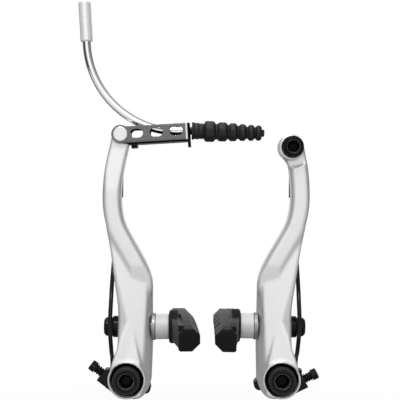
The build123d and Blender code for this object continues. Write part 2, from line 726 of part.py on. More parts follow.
def brake_shoe(toe, rise):
    """The rubber pad: one section turned along the rim's arc, toed in, with a hub that tapers to its ends."""
    back = SPACER_BACK - BACK_T
    across = (cos(radians(toe)), -sin(radians(toe)), 0)
    along = (-sin(radians(toe)), -cos(radians(toe)), 0)
    arc = degrees(SHOE_L / SHOE_RADIUS)
    rim = Plane((back, 0, POST_Z - SHOE_RADIUS), x_dir=across, z_dir=along)
    high, low = SHOE_RADIUS + SHOE_H / 2 + rise, SHOE_RADIUS - SHOE_H / 2 + rise
    with BuildPart() as shoe:
        with BuildSketch(Plane(rim.location * Rot(-arc / 2, 0, 0))):
            Polygon(
                (0, high - SHOE_BACK_BEVEL), (0, low + SHOE_EASE), (-SHOE_EASE, low), (SHOE_BEVEL - SHOE_T, low),
                (-SHOE_T, low + SHOE_BEVEL), (-SHOE_T, high - SHOE_BEVEL), (SHOE_BEVEL - SHOE_T, high),
                (-SHOE_BACK_BEVEL, high), align=None,
            )
        revolve(axis=Axis(rim.origin, rim.x_dir), revolution_arc=arc)
        ends = shoe.faces().sort_by(Axis((0, 0, 0), along))
        chamfer(ends[0].edges() + ends[-1].edges(), SHOE_EASE)
        with BuildSketch(Plane((back, 0, POST_Z), x_dir=across, z_dir=(0, 0, 1)).offset(-HUB_HALF)):
            Polygon(
                (-SHOE_BACK_BEVEL, HUB_FOOT), (0, HUB_FOOT), (HUB_RISE, HUB_HEAD), (HUB_RISE, -HUB_HEAD),
                (0, -HUB_FOOT), (-SHOE_BACK_BEVEL, -HUB_FOOT), align=None,
            )
        extrude(amount=2 * HUB_HALF)
        crown = POST_Z + SHOE_H / 2 + rise
        with BuildSketch(Plane((back, 0, 0), x_dir=along, z_dir=across)):
            for way in (1, -1):
                Polygon(
                    (way * (SHOE_L / 2 - NOSE_TAPER), -crown), (way * SHOE_L, -crown),
                    (way * SHOE_L / 2, NOSE_DROP - crown), align=None,
                )
        extrude(amount=2 * SHOE_T, both=True, mode=Mode.SUBTRACT)
        with BuildSketch(Plane((back, 0, POST_Z), x_dir=across, z_dir=(0, 0, 1))):
            with Locations((-SHOE_T, GROOVE_AT)):
                with GridLocations(0, GROOVE_PITCH, 1, GROOVES):
                    Rectangle(2 * GROOVE_DEPTH, GROOVE_W)
        extrude(amount=SHOE_H, both=True, mode=Mode.SUBTRACT)
        add(shoe_collar.part)
        with BuildSketch(Plane.YZ.offset(SPACER_BACK)):
            with Locations((0, POST_Z)):
                Circle(POST_R + DRIVE)
        extrude(amount=-BACK_T, mode=Mode.SUBTRACT)
    return shoe.part


# Link: a folded sheet channel on the pin, drawn in its own tilted plane
lean = radians(LEFT_LEAN)
tilt = radians(LINK_TILT)
PIN_X = -(PIVOT_SPACING / 2 + PIN_AT[0] * cos(lean) + PIN_AT[1] * sin(lean))
PIN_Z = PIN_AT[1] * cos(lean) - PIN_AT[0] * sin(lean)
LINK = Plane((PIN_X, 0, PIN_Z), x_dir=(cos(tilt), 0, sin(tilt)), z_dir=(0, -1, 0))
INSIDE = TONGUE_HALF + SLIP
OUTSIDE = INSIDE + SHEET
WALL = LINK_END - SHEET
with BuildPart() as link_bracket:
    with BuildSketch(LINK):
        Circle(EAR_R)
        with BuildLine():
            Polyline(
                (0, LINK_TOP), (LINK_END, LINK_TOP), (LINK_END, LINK_BOTTOM), (WEB_START, LINK_BOTTOM),
                (0, EAR_FLAT - EAR_R), close=True,
            )
        make_face()
    extrude(amount=OUTSIDE, both=True)
    flats = link_bracket.faces().filter_by(Plane.XY.rotated((0, -LINK_TILT, 0)))
    base = flats.sort_by(Axis((0, 0, 0), LINK.y_dir))[0]
    fillet(base.edges().filter_by(Axis((0, 0, 0), LINK.x_dir)), LINK_BEND)
    corners = link_bracket.edges().filter_by(Axis((0, 0, 0), LINK.y_dir))
    fillet(corners.sort_by(Axis((0, 0, 0), LINK.x_dir))[-2:], END_BEND)
    with BuildSketch(LINK):
        with BuildLine():
            Polyline(
                (-THROUGH, THROUGH), (WALL, THROUGH), (WALL, LINK_BOTTOM + SHEET),
                (WEB_START, LINK_BOTTOM + SHEET), (WEB_START, -THROUGH), (-THROUGH, -THROUGH), close=True,
            )
        make_face()
    extrude(amount=INSIDE, both=True, mode=Mode.SUBTRACT)
    with BuildSketch(LINK):
        Circle(PIN_R + RUN)
        with Locations(*[(LINK_HOLE_AT + i * LINK_HOLE_PITCH, 0) for i in range(LINK_HOLES)]):
            SlotOverall(*LINK_HOLE)
    extrude(amount=THROUGH, both=True, mode=Mode.SUBTRACT)
    with BuildSketch(Plane(LINK.from_local_coords((WALL, 0, 0)), x_dir=(0, 1, 0), z_dir=LINK.x_dir)):
        with Locations((0, LINK_BOTTOM / 2 - TAIL_DROP / 2)):
            RectangleRounded(TAIL_W, TAIL_DROP + LINK_BOTTOM + 2 * SHEET, SHEET)
    extrude(amount=SHEET)
    with BuildSketch(Plane(LINK.from_local_coords((WALL, 0, 0)), x_dir=(0, 1, 0), z_dir=LINK.x_dir)):
        Circle(KEY_R)
        with Locations((0, LINK_TOP)):
            Rectangle(KEY_SLOT, 2 * LINK_TOP)
    extrude(amount=SHEET, mode=Mode.SUBTRACT)
    with BuildSketch(LINK):
        with BuildLine():
            Polyline(
                (WEB_START, LINK_BOTTOM + SHEET / 2), (WEB_START, -STOP_DROP),
                (WEB_START + STOP_L, -STOP_DROP), (WEB_START + STOP_L, LINK_BOTTOM + SHEET / 2), close=True,
            )
        make_face()
    extrude(amount=STOP_HALF, both=True)

with BuildPart() as link_pin:
    with BuildSketch(LINK):
        Circle(PIN_R)
    extrude(amount=OUTSIDE + SLIP, both=True)
    for way in (1, -1):
        with BuildSketch(LINK.offset(way * (OUTSIDE + SLIP))):
            Circle(PIN_HEAD_R)
        extrude(amount=way * PIN_HEAD_T)
    rims = link_pin.edges().filter_by(GeomType.CIRCLE).sort_by(Axis.Y)
    chamfer([rims[0], rims[-1]], PIN_HEAD_T / 3)

# Cable guide pipe, its ferrule, nose and liner
PIPE_TOP = PIPE_BEND + PIPE_RUN
FERRULE_X = PIPE_BEND_END - PIPE_BEND
NOSE_START = WALL - SLIP - NOSE_T
with BuildPart() as noodle_pipe:
    with BuildLine(LINK) as pipe_line:
        Line((FERRULE_X, PIPE_TOP + PIPE_SINK), (FERRULE_X, PIPE_BEND))
        CenterArc((PIPE_BEND_END, PIPE_BEND), PIPE_BEND, 180, 90)
        Line((PIPE_BEND_END, 0), (NOSE_START, 0))
    with BuildSketch(Plane(pipe_line.wires()[0] @ 0, z_dir=pipe_line.wires()[0] % 0)):
        Circle(PIPE_R)
        Circle(PIPE_BORE_R, mode=Mode.SUBTRACT)
    sweep(path=pipe_line.wires()[0])

with BuildPart() as noodle_liner:
    with BuildLine(LINK) as liner_line:
        Line((FERRULE_X, PIPE_TOP + PIPE_SINK), (FERRULE_X, PIPE_BEND))
        CenterArc((PIPE_BEND_END, PIPE_BEND), PIPE_BEND, 180, 90)
        Line((PIPE_BEND_END, 0), (LINK_END + NOSE_L, 0))
    with BuildSketch(Plane(liner_line.wires()[0] @ 0, z_dir=liner_line.wires()[0] % 0)):
        Circle(PIPE_BORE_R - RUN)
        Circle(PIPE_BORE_R - RUN - LINER_WALL, mode=Mode.SUBTRACT)
    sweep(path=liner_line.wires()[0])

FERRULE_TOP = PIPE_TOP + FERRULE_L
SOCKET_FLOOR = FERRULE_TOP - FERRULE_SOCKET
with BuildPart() as noodle_ferrule:
    with BuildSketch(LINK):
        with BuildLine():
            Polyline(
                (PIPE_R + DRIVE, PIPE_TOP), (FERRULE_R - EASE, PIPE_TOP), (FERRULE_R, PIPE_TOP + EASE),
                (FERRULE_R, FERRULE_TOP - EASE), (FERRULE_R - FERRULE_WALL / 2, FERRULE_TOP),
                (FERRULE_BORE_R, FERRULE_TOP), (FERRULE_BORE_R, SOCKET_FLOOR), (PIPE_R + DRIVE, SOCKET_FLOOR),
                close=True,
            )
        make_face()
    revolve(axis=Axis(LINK.origin, LINK.y_dir))
ferrule = Location(LINK.x_dir * FERRULE_X) * noodle_ferrule.part

NOSE_END = LINK_END + NOSE_L
with BuildPart() as noodle_nose:
    with BuildSketch(LINK):
        with BuildLine():
            Polyline(
                (NOSE_START, PIPE_BORE_R), (NOSE_START, NOSE_R), (NOSE_START + NOSE_T, NOSE_R),
                (NOSE_START + NOSE_T, NOSE_NECK_R), (NOSE_END - EASE, NOSE_NECK_R),
                (NOSE_END, NOSE_NECK_R - EASE), (NOSE_END, PIPE_BORE_R), close=True,
            )
        make_face()
    revolve(axis=Axis(LINK.origin, LINK.x_dir))

# Rubber boot: bellows turned about an axis that droops from the link's
droop = radians(-BOOT_DROOP)
BOOT = Plane(
    LINK.from_local_coords((BOOT_AT, 0, 0)),
    x_dir=LINK.x_dir * cos(droop) + LINK.y_dir * sin(droop),
    z_dir=LINK.z_dir,
)
throat = BOOT_L - BOOT_TIP - BOOT_THROAT
bellows = list(BOOT_NECK)
for begin, end, radius in BOOT_RINGS:
    bellows += [(begin, radius - BOOT_ROUND), (begin + BOOT_ROUND, radius)]
    bellows += [(end - BOOT_ROUND, radius), (end, radius - BOOT_ROUND)]
    bellows += [(end + BOOT_GAP, radius - BOOT_GROOVE)]
with BuildPart() as rubber_boot:
    with BuildSketch(BOOT):
        with BuildLine():
            Polyline(
                (0, BOOT_BORE_R), *bellows[:-1], (BOOT_L - BOOT_TIP, BOOT_TIP_R),
                (BOOT_L - EASE / 2, BOOT_TIP_R), (BOOT_L, BOOT_TIP_R - EASE / 2), (BOOT_L, BOOT_HOLE_R),
                (throat, BOOT_HOLE_R), (throat - BOOT_FUNNEL, BOOT_FUNNEL_R), close=True,
            )
        make_face()
    revolve(axis=Axis(BOOT.origin, BOOT.x_dir))

# Cable clamp on the right arm
WASHER_FRONT = ANCHOR_FRONT - CLAMP_T
with BuildPart() as clamp_washer:
    with BuildSketch(front(ANCHOR_FRONT)):
        with Locations(ANCHOR_AT):
            Circle(CLAMP_R)
            Circle(CLAMP_BOLT_R + SLIP, mode=Mode.SUBTRACT)
    extrude(amount=CLAMP_T)
    face_rims = clamp_washer.edges().filter_by(GeomType.CIRCLE).sort_by(Axis.Y)[:2]
    chamfer(face_rims.sort_by(SortBy.RADIUS)[-1], EASE)
    with BuildSketch(Plane.YZ):
        with Locations((ANCHOR_FRONT, ANCHOR_AT[1] + CLAMP_BOLT_R + CABLE_R)):
            Circle(CABLE_R)
    extrude(amount=THROUGH, both=True, mode=Mode.SUBTRACT)

with BuildPart() as cable_bolt:
    with BuildSketch(front(WASHER_FRONT)):
        with Locations(ANCHOR_AT):
            Circle(CLAMP_HEAD_R)
    extrude(amount=CLAMP_HEAD_H)
    fillet(cable_bolt.edges().sort_by(Axis.Y)[0], CLAMP_HEAD_H / 4)
    with BuildSketch(front(WASHER_FRONT)):
        with Locations(ANCHOR_AT):
            Circle(CLAMP_BOLT_R)
    extrude(amount=-CLAMP_BOLT_L)
    with BuildSketch(front(WASHER_FRONT - CLAMP_HEAD_H)):
        with Locations(ANCHOR_AT):
            RegularPolygon(KEY_ACROSS / 2, 6, major_radius=False)
    extrude(amount=-CLAMP_HEX_DEPTH, mode=Mode.SUBTRACT)
    with BuildSketch(front(WASHER_FRONT - CLAMP_HEAD_H)):
        with Locations(ANCHOR_AT):
            Circle(KEY_ACROSS / 2 + CLAMP_HEX_LEAD)
    extrude(amount=-CLAMP_HEX_LEAD, taper=45, mode=Mode.SUBTRACT)

# Every piece in its place
PAIRS = {
    "pivot_bushing": bushing.part,
    "fixing_bolt": fixing_bolt.part,
    "return_spring": return_spring.part,
    "spring_sleeve": spring_sleeve.part,
    "shoe_post": shoe_post.part,
    "inner_cup_spacer": inner_spacer,
    "inner_dome_washer": inner_dome,
    "outer_dome_washer": outer_dome,
    "outer_cup_washer": outer_cup,
    "shoe_nut": shoe_nut.part,
}
for name, piece in PAIRS.items():
    hand_in(seat(piece, True), f"left_{name}")
    hand_in(seat(piece, False), f"right_{name}")
hand_in(seat(link_arm.part, True), "left_arm")
hand_in(seat(anchor_arm.part, False), "right_arm")
hand_in(seat(spring_holder(LEFT_SCREW_TURN), True), "left_spring_holder")
hand_in(seat(spring_holder(RIGHT_SCREW_TURN), False), "right_spring_holder")
hand_in(seat(tension_screw(LEFT_SCREW_TURN), True), "left_tension_screw")
hand_in(seat(tension_screw(RIGHT_SCREW_TURN), False), "right_tension_screw")
hand_in(seat(brake_shoe(LEFT_TOE, LEFT_SHOE_RISE), True), "left_brake_shoe")
hand_in(seat(brake_shoe(RIGHT_TOE, RIGHT_SHOE_RISE), False), "right_brake_shoe")
hand_in(seat(clamp_washer.part, False), "cable_clamp_washer")
hand_in(seat(cable_bolt.part, False), "cable_bolt")
hand_in(link_bracket.part, "link_bracket")
hand_in(link_pin.part, "link_pin")
hand_in(noodle_pipe.part, "noodle_pipe")
hand_in(noodle_liner.part, "noodle_liner")
hand_in(ferrule, "noodle_ferrule")
hand_in(noodle_nose.part, "noodle_nose")
hand_in(rubber_boot.part, "rubber_boot")
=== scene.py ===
"""Dress a linear pull rim brake in its finishes and stand it in a white studio.

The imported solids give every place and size. The classes below model what the solids leave plain,
give each piece its finish, and set the camera and the light of the photograph.
"""
from __future__ import annotations

import logging
import math
from collections.abc import Sequence
from dataclasses import dataclass
from enum import Enum

import bpy
from mathutils import Matrix, Vector


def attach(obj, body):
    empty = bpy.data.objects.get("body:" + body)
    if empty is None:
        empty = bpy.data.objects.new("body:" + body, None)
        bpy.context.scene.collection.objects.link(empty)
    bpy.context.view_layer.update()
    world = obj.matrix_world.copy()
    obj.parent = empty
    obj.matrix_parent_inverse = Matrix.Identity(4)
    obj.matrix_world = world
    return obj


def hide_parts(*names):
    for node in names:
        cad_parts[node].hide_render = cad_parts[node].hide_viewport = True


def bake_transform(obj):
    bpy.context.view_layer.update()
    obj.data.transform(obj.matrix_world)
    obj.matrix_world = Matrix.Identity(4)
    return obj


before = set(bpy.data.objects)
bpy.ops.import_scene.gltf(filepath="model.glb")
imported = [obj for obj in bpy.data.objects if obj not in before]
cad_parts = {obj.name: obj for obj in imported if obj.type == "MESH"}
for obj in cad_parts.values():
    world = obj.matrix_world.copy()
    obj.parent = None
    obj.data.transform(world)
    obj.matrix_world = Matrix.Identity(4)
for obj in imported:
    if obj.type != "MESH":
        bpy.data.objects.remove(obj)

LOG = logging.getLogger("rim_brake")
MM = 0.001
MERGE = 0.001 * MM

Colour = tuple[float, float, float, float]
Band = tuple[float, float]
Point = tuple[float, float, float]

# Places that two classes share, in millimetres and degrees
PIVOT_X = 35.5
LINK_PIN = (-38.7, 0.0, 112.9)
LINK_TILT = 3.3


def grey(level: float, warmth: float = 0.0) -> Colour:
    """Return a grey, shifted towards yellow by a positive warmth."""
    return (level * (1 + warmth), level, level * (1 - warmth), 1.0)


class Side(Enum):
    """The two arms as the viewer sees them; the value is the sign of their X."""

    LEFT = -1
    RIGHT = 1

    def node(self, piece: str) -> str:
        """Return the name of this side's own copy of a piece."""
        return f"{self.name.lower()}_{piece}"


# Shader expressions


class Shade:
    """One output of a shader node, which takes part in Python expressions."""

    def __init__(self, graph: Graph, socket: bpy.types.NodeSocket) -> None:
        """Wrap a socket of a graph."""
        self.graph = graph
        self.socket = socket

    def of(self, name: str) -> Shade:
        """Return another output of the same node."""
        return Shade(self.graph, self.socket.node.outputs[name])

    def _math(self, operation: str, first: Shade | float, second: Shade | float) -> Shade:
        """Add one Math node on two values."""
        return self.graph.node("ShaderNodeMath", {"operation": operation}, {0: first, 1: second})

    def __add__(self, other: Shade | float) -> Shade:
        """Return self + other."""
        return self._math("ADD", self, other)

    __radd__ = __add__

    def __sub__(self, other: Shade | float) -> Shade:
        """Return self - other."""
        return self._math("SUBTRACT", self, other)

    def __rsub__(self, other: float) -> Shade:
        """Return other - self."""
        return self._math("SUBTRACT", other, self)

    def __mul__(self, other: Shade | float) -> Shade:
        """Return self * other."""
        return self._math("MULTIPLY", self, other)

    __rmul__ = __mul__

    def __abs__(self) -> Shade:
        """Return self without its sign."""
        return self._math("ABSOLUTE", self, 0.0)

    def top(self, other: Shade | float) -> Shade:
        """Return the larger of self and other."""
        return self._math("MAXIMUM", self, other)


class Graph:
    """A node tree that is filled one node at a time."""

    def __init__(self, tree: bpy.types.NodeTree) -> None:
        """Start an empty graph on a tree."""
        self.tree = tree
        self.tree.nodes.clear()

    def node(
        self,
        kind: str,
        settings: dict[str, object] | None = None,
        inputs: dict[str | int, object] | None = None,
    ) -> Shade | None:
        """Add one node.

        Args:
            kind: The node's type.
            settings: Its own properties, set before its sockets.
            inputs: Values or links by socket name or number.

        Returns:
            Its first output, or None for an output node.
        """
        made = self.tree.nodes.new(kind)
        for key, value in (settings or {}).items():
            setattr(made, key, value)
        for key, value in (inputs or {}).items():
            if isinstance(value, Shade):
                self.tree.links.new(value.socket, made.inputs[key])
            else:
                made.inputs[key].default_value = value
        return Shade(self, made.outputs[0]) if made.outputs else None

    def noise(self, place: Shade, scale: float, detail: float = 2.0) -> Shade:
        """Return a noise value from 0 to 1 at this many waves a metre."""
        return self.node("ShaderNodeTexNoise", {}, {"Vector": place, "Scale": scale, "Detail": detail})

    def step(self, value: Shade, low: float, high: float) -> Shade:
        """Return a smooth step of a value, 0 below low and 1 above high."""
        inputs = {"Value": value, "From Min": low, "From Max": high}
        return self.node("ShaderNodeMapRange", {"interpolation_type": "SMOOTHSTEP"}, inputs)

    def blend(self, share: Shade | float, first: Colour | Shade, second: Colour | Shade) -> Shade:
        """Return a mix of two colours."""
        mixed = self.node("ShaderNodeMix", {"data_type": "RGBA"}, {0: share, 6: first, 7: second})
        return Shade(self, mixed.socket.node.outputs[2])

    def parts(self, vector: Shade) -> tuple[Shade, Shade, Shade]:
        """Return the X, Y and Z of a vector."""
        split = self.node("ShaderNodeSeparateXYZ", {}, {"Vector": vector})
        return split.of("X"), split.of("Y"), split.of("Z")

    def length(self, vector: Shade) -> Shade:
        """Return the length of a vector."""
        return self.node("ShaderNodeVectorMath", {"operation": "LENGTH"}, {0: vector}).of("Value")

    def dot(self, first: Shade, second: Shade | Point) -> Shade:
        """Return the dot product of two vectors."""
        product = self.node("ShaderNodeVectorMath", {"operation": "DOT_PRODUCT"}, {0: first, 1: second})
        return product.of("Value")


# Finishes


@dataclass(frozen=True)
class Finish:
    """What every finish has: a colour, a gloss, softened edges and a fine relief.

    Lengths are in metres and scales in waves a metre.
    """

    name: str
    colour: Colour
    roughness: float
    metallic: float = 0.0
    specular: float = 0.5
    gloss_spread: float = 0.15
    edge: float = 0.25 * MM
    edge_samples: int = 4
    # The edge colour and its unevenness paint light on the edges: highlights where it is pale, shade where
    # it is dark.
    edge_light_colour: Colour | None = None
    edge_turn: Band = (0.02, 0.25)
    edge_light_unevenness: Band = (0.5, 1.3)
    edge_light_noise_scale: float = 900.0
    mottle: float = 0.08
    mottle_scale: float = 140.0
    grain: float = 2600.0
    grain_detail: float = 3.0
    grain_depth: float = 0.02 * MM
    grain_strength: float = 0.15
    # The hollow settings paint shade: where ambient occlusion finds a recess, a dark diffuse surface is
    # mixed in.
    hollow: float = 0.0
    hollow_reach: float = 4 * MM
    hollow_open: Band = (0.5, 0.72)
    hollow_samples: int = 8
    hollow_shade_colour: Colour = grey(0.001)

    def relief(self, graph: Graph, place: Shade) -> Shade:
        """Return the height that gives the surface its fine grain."""
        return graph.noise(place, self.grain, self.grain_detail)

    def tone(self, graph: Graph, place: Shade) -> Shade:
        """Return the colour, mottled a little darker in broad patches.

        Args:
            graph: The material's graph.
            place: The point on the piece.

        Returns:
            The base colour.
        """
        depth = 2 * self.mottle
        darker = tuple(c * (1 - depth) for c in self.colour[:3]) + (1.0,)
        return graph.blend(graph.noise(place, self.mottle_scale) * depth, self.colour, darker)

    def painted_edge_light(self, graph: Graph, place: Shade, rounded: Shade, colour: Shade) -> Shade:
        """Paint light on the edges, unevenly, where the surface turns a corner: highlights where the edge
        colour is pale, shade where it is dark.

        Args:
            graph: The material's graph.
            place: The point on the piece.
            rounded: The softened normal.
            colour: The colour away from the edges.

        Returns:
            The colour with its edges.
        """
        facing = graph.dot(rounded, graph.node("ShaderNodeNewGeometry").of("Normal"))
        least, most = self.edge_light_unevenness
        uneven = graph.noise(place, self.edge_light_noise_scale) * (most - least) + least
        return graph.blend(graph.step(1 - facing, *self.edge_turn) * uneven, colour, self.edge_light_colour)

    def gloss(self, graph: Graph, place: Shade) -> Shade:
        """Return the roughness, uneven at the scale of handling marks."""
        spread = self.roughness * self.gloss_spread
        return graph.noise(place, self.mottle_scale * 3) * (2 * spread) + (self.roughness - spread)

    def depth(self, graph: Graph, place: Shade) -> Shade:
        """Return the share of painted shade where ambient occlusion finds a recess, from 0 to 1.

        Args:
            graph: The material's graph.
            place: The point on the piece, for the finishes that limit their hollow.

        Returns:
            The painted shade's share.
        """
        settings = {"samples": self.hollow_samples}
        hidden = graph.node("ShaderNodeAmbientOcclusion", settings, {"Distance": self.hollow_reach})
        return (1 - graph.step(hidden.of("AO"), *self.hollow_open)) * self.hollow

    def material(self) -> bpy.types.Material:
        """Build the finish as a material.

        Returns:
            The new material.
        """
        made = bpy.data.materials.new(self.name)
        made.use_nodes = True
        graph = Graph(made.node_tree)
        place = graph.node("ShaderNodeTexCoord").of("Object")
        rounded = graph.node("ShaderNodeBevel", {"samples": self.edge_samples}, {"Radius": self.edge})
        colour = self.tone(graph, place)
        # Painted edge light: highlights where the edge colour is pale, shade where it is dark.
        if self.edge_light_colour:
            colour = self.painted_edge_light(graph, place, rounded, colour)
        normal = graph.node(
            "ShaderNodeBump",
            {},
            {
                "Strength": self.grain_strength,
                "Distance": self.grain_depth,
                "Height": self.relief(graph, place),
                "Normal": rounded,
            },
        )
        surface = graph.node(
            "ShaderNodeBsdfPrincipled",
            {},
            {
                "Base Color": colour,
                "Metallic": self.metallic,
                "Roughness": self.gloss(graph, place),
                "Specular IOR Level": self.specular,
                "Normal": normal,
            },
        )
        # Painted shade: recesses found by ambient occlusion turn to a dark diffuse surface.
        if self.hollow:
            painted_hollow_shade = graph.node("ShaderNodeBsdfDiffuse", {}, {"Color": self.hollow_shade_colour})
            share = self.depth(graph, place)
            surface = graph.node("ShaderNodeMixShader", {}, {0: share, 1: surface, 2: painted_hollow_shade})
        graph.node("ShaderNodeOutputMaterial", {}, {"Surface": surface})
        return made


@dataclass(frozen=True)
class FoldedSheet(Finish):
    """A plated channel: its own tone on the outer skins, a painted highlight line near its end, and painted
    shade on the folds, inside and end.
    """

    fold_shade_colour: Colour = grey(0.006)
    line_highlight_colour: Colour = grey(0.75)
    skin: Band = (5.3 * MM, 5.45 * MM)
    # Where along the link the painted highlight line starts, and where the painted shade past it starts.
    line: Band = (30.2 * MM, 31.0 * MM)
    line_soft: float = 0.15 * MM

    def tone(self, graph: Graph, place: Shade) -> Shade:
        """Return the own tone on the two outer faces, with a painted highlight line near the end and
        painted shade past it and elsewhere.

        Args:
            graph: The material's graph.
            place: The point on the piece.

        Returns:
            The base colour.
        """
        turn = math.radians(LINK_TILT)
        axis = (math.cos(turn), 0.0, math.sin(turn))
        pin = Vector(LINK_PIN) * MM
        from_pin = graph.node("ShaderNodeVectorMath", {"operation": "SUBTRACT"}, {0: place, 1: pin})
        along = graph.dot(from_pin, axis)
        face = super().tone(graph, place)
        # A painted highlight line near the end, then painted shade past it.
        for start, colour in zip(self.line, (self.line_highlight_colour, self.fold_shade_colour)):
            share = graph.step(along, start - self.line_soft, start + self.line_soft)
            face = graph.blend(share, face, colour)
        # Painted shade on the folds and inside, wherever the point is not on an outer face.
        aside = abs(graph.parts(place)[1])
        return graph.blend(graph.step(aside, *self.skin), self.fold_shade_colour, face)


@dataclass(frozen=True)
class SocketHead(Finish):
    """A black bolt head on a pivot, with a painted highlight paler towards its rim and painted shade dark
    in its hex socket.
    """

    mouth: Band = (3.4 * MM, 3.7 * MM)
    rim: Band = (4.4 * MM, 6.0 * MM)
    rim_highlight_colour: Colour = grey(0.03)

    def radius(self, graph: Graph, place: Shade) -> Shade:
        """Return the distance from the nearer pivot's axis.

        Args:
            graph: The material's graph.
            place: The point on the piece.

        Returns:
            The distance in metres.
        """
        x, _, z = graph.parts(place)
        across = abs(x) - PIVOT_X * MM
        return graph.length(graph.node("ShaderNodeCombineXYZ", {}, {"X": across, "Z": z}))

    def tone(self, graph: Graph, place: Shade) -> Shade:
        """Return the colour, with a painted highlight paler towards the rim."""
        # Painted highlight, paler towards the rim.
        painted_edge_light = graph.step(self.radius(graph, place), *self.rim)
        return graph.blend(painted_edge_light, super().tone(graph, place), self.rim_highlight_colour)

    def depth(self, graph: Graph, place: Shade) -> Shade:
        """Return the painted shade's share inside the socket alone."""
        return super().depth(graph, place) * (1 - graph.step(self.radius(graph, place), *self.mouth))


@dataclass(frozen=True)
class TurnedMetal(Finish):
    """A metal turned on a lathe, with fine rings across its axis."""

    axis: int = 0
    rings: float = 2400.0
    stretch: float = 60.0

    def relief(self, graph: Graph, place: Shade) -> Shade:
        """Return ring marks that vary along the axis and hardly around it.

        Args:
            graph: The material's graph.
            place: The point on the piece.

        Returns:
            The height.
        """
        scale = tuple(self.rings if i == self.axis else self.rings / self.stretch for i in range(3))
        stretched = graph.node("ShaderNodeMapping", {}, {"Vector": place, "Scale": scale})
        return graph.noise(stretched, 1.0)


class Look(Enum):
    """The finish of each kind of piece."""

    # Pale edge colours below paint highlights along edges, and hollow paints shade in recesses.
    ARM = Finish(
        "satin_silver", grey(0.92, -0.004), 0.42, metallic=0.7, edge=2.6 * MM, edge_samples=16,
        mottle_scale=1400.0, grain=5200.0, grain_strength=0.1,
    )
    PIVOT_BOLT = SocketHead(
        "oxide_painted_rim_light", grey(0.005), 0.32, specular=0.14, edge=0.5 * MM, edge_light_colour=grey(0.7), mottle=0.15,
        grain=4200.0, hollow=0.98,
    )
    BOLT = Finish(
        "black_oxide", grey(0.003), 0.32, specular=0.12, edge=0.5 * MM, edge_light_colour=grey(0.45), mottle=0.15,
        grain=4200.0, hollow=0.98,
    )
    BUSH = Finish("sleeve_black", grey(0.002), 0.5, specular=0.1, mottle=0.15, hollow=0.9)
    PLASTIC = Finish("moulded_black", grey(0.005), 0.36, specular=0.25, mottle=0.12, grain=3000.0)
    WIRE = Finish("spring_black", grey(0.004), 0.22, specular=0.3, mottle=0.1)
    SHOE = Finish(
        "moulded_rubber", grey(0.006), 0.42, specular=0.14, edge=0.8 * MM, edge_light_colour=grey(0.04),
        mottle=0.2, mottle_scale=220.0, grain=2200.0, grain_depth=0.03 * MM, grain_strength=0.2,
    )
    BOOT = Finish(
        "bellows_rubber", grey(0.015), 0.42, specular=0.28, edge=0.4 * MM, mottle=0.15,
        grain_depth=0.04 * MM, grain_strength=0.2,
    )
    SPACER = TurnedMetal(
        "turned_alloy", grey(0.74, 0.01), 0.6, metallic=0.25, mottle=0.06, mottle_scale=900.0,
    )
    DOME = TurnedMetal("turned_steel", grey(0.38, 0.01), 0.42, metallic=0.8, mottle=0.04)
    WASHER = Finish("gloss_black", grey(0.002), 0.2, specular=0.16, edge_light_colour=grey(0.08), mottle=0.1)
    # The link's folds, inside and end get painted shade, with a painted highlight line near the end.
    LINK = FoldedSheet(
        "dark_plated_sheet", grey(0.17), 0.32, metallic=0.95, edge_light_colour=grey(0.5), mottle=0.05,
        grain=3600.0,
    )
    # The pin's dark edge colour paints shade around the rim of its head.
    PIN = TurnedMetal(
        "pin_steel", grey(0.88), 0.34, metallic=0.6, edge=0.5 * MM, edge_light_colour=grey(0.02), mottle=0.02,
        axis=1,
    )
    PIPE = Finish(
        "polished_steel", grey(0.95, -0.01), 0.14, metallic=1.0, mottle=0.02, grain=900.0,
        grain_strength=0.004,
    )
    FERRULE = Finish("satin_steel", grey(0.98), 0.24, metallic=0.3, mottle=0.02, grain_strength=0.02)
    LINER = Finish("liner_polymer", grey(0.6, 0.05), 0.4, mottle=0.05)


def dress(look: Look, *pieces: bpy.types.Object | str) -> None:
    """Give pieces, or CAD nodes by name, one finish.

    Args:
        look: The finish.
        pieces: Objects or node names.
    """
    finish = look.value
    material = bpy.data.materials.get(finish.name) or finish.material()
    for piece in pieces:
        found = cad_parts[piece] if isinstance(piece, str) else piece
        found.data.materials.clear()
        found.data.materials.append(material)
        LOG.info("%s dressed in %s", found.name, finish.name)


# Modelling moves


def modify(piece: bpy.types.Object, kind: str, **settings: object) -> None:
    """Add one modifier to the active piece and apply it.

    Args:
        piece: The piece, which is active.
        kind: The modifier's type.
        settings: Its properties.
    """
    modifier = piece.modifiers.new(kind.lower(), kind)
    for key, value in settings.items():
        setattr(modifier, key, value)
    bpy.ops.object.modifier_apply(modifier=modifier.name)


def settle(piece: bpy.types.Object, place: Matrix) -> None:
    """Carry a modelled piece to its place, which then lies in its mesh."""
    piece.matrix_world = place
    bpy.ops.object.transform_apply(location=True, rotation=True, scale=True)


def close_mesh() -> None:
    """Merge the doubles of the mesh in edit mode, turn its faces outwards and leave edit mode."""
    bpy.ops.mesh.select_all(action="SELECT")
    bpy.ops.mesh.remove_doubles(threshold=MERGE)
    bpy.ops.mesh.normals_make_consistent(inside=False)
    bpy.ops.object.mode_set(mode="OBJECT")


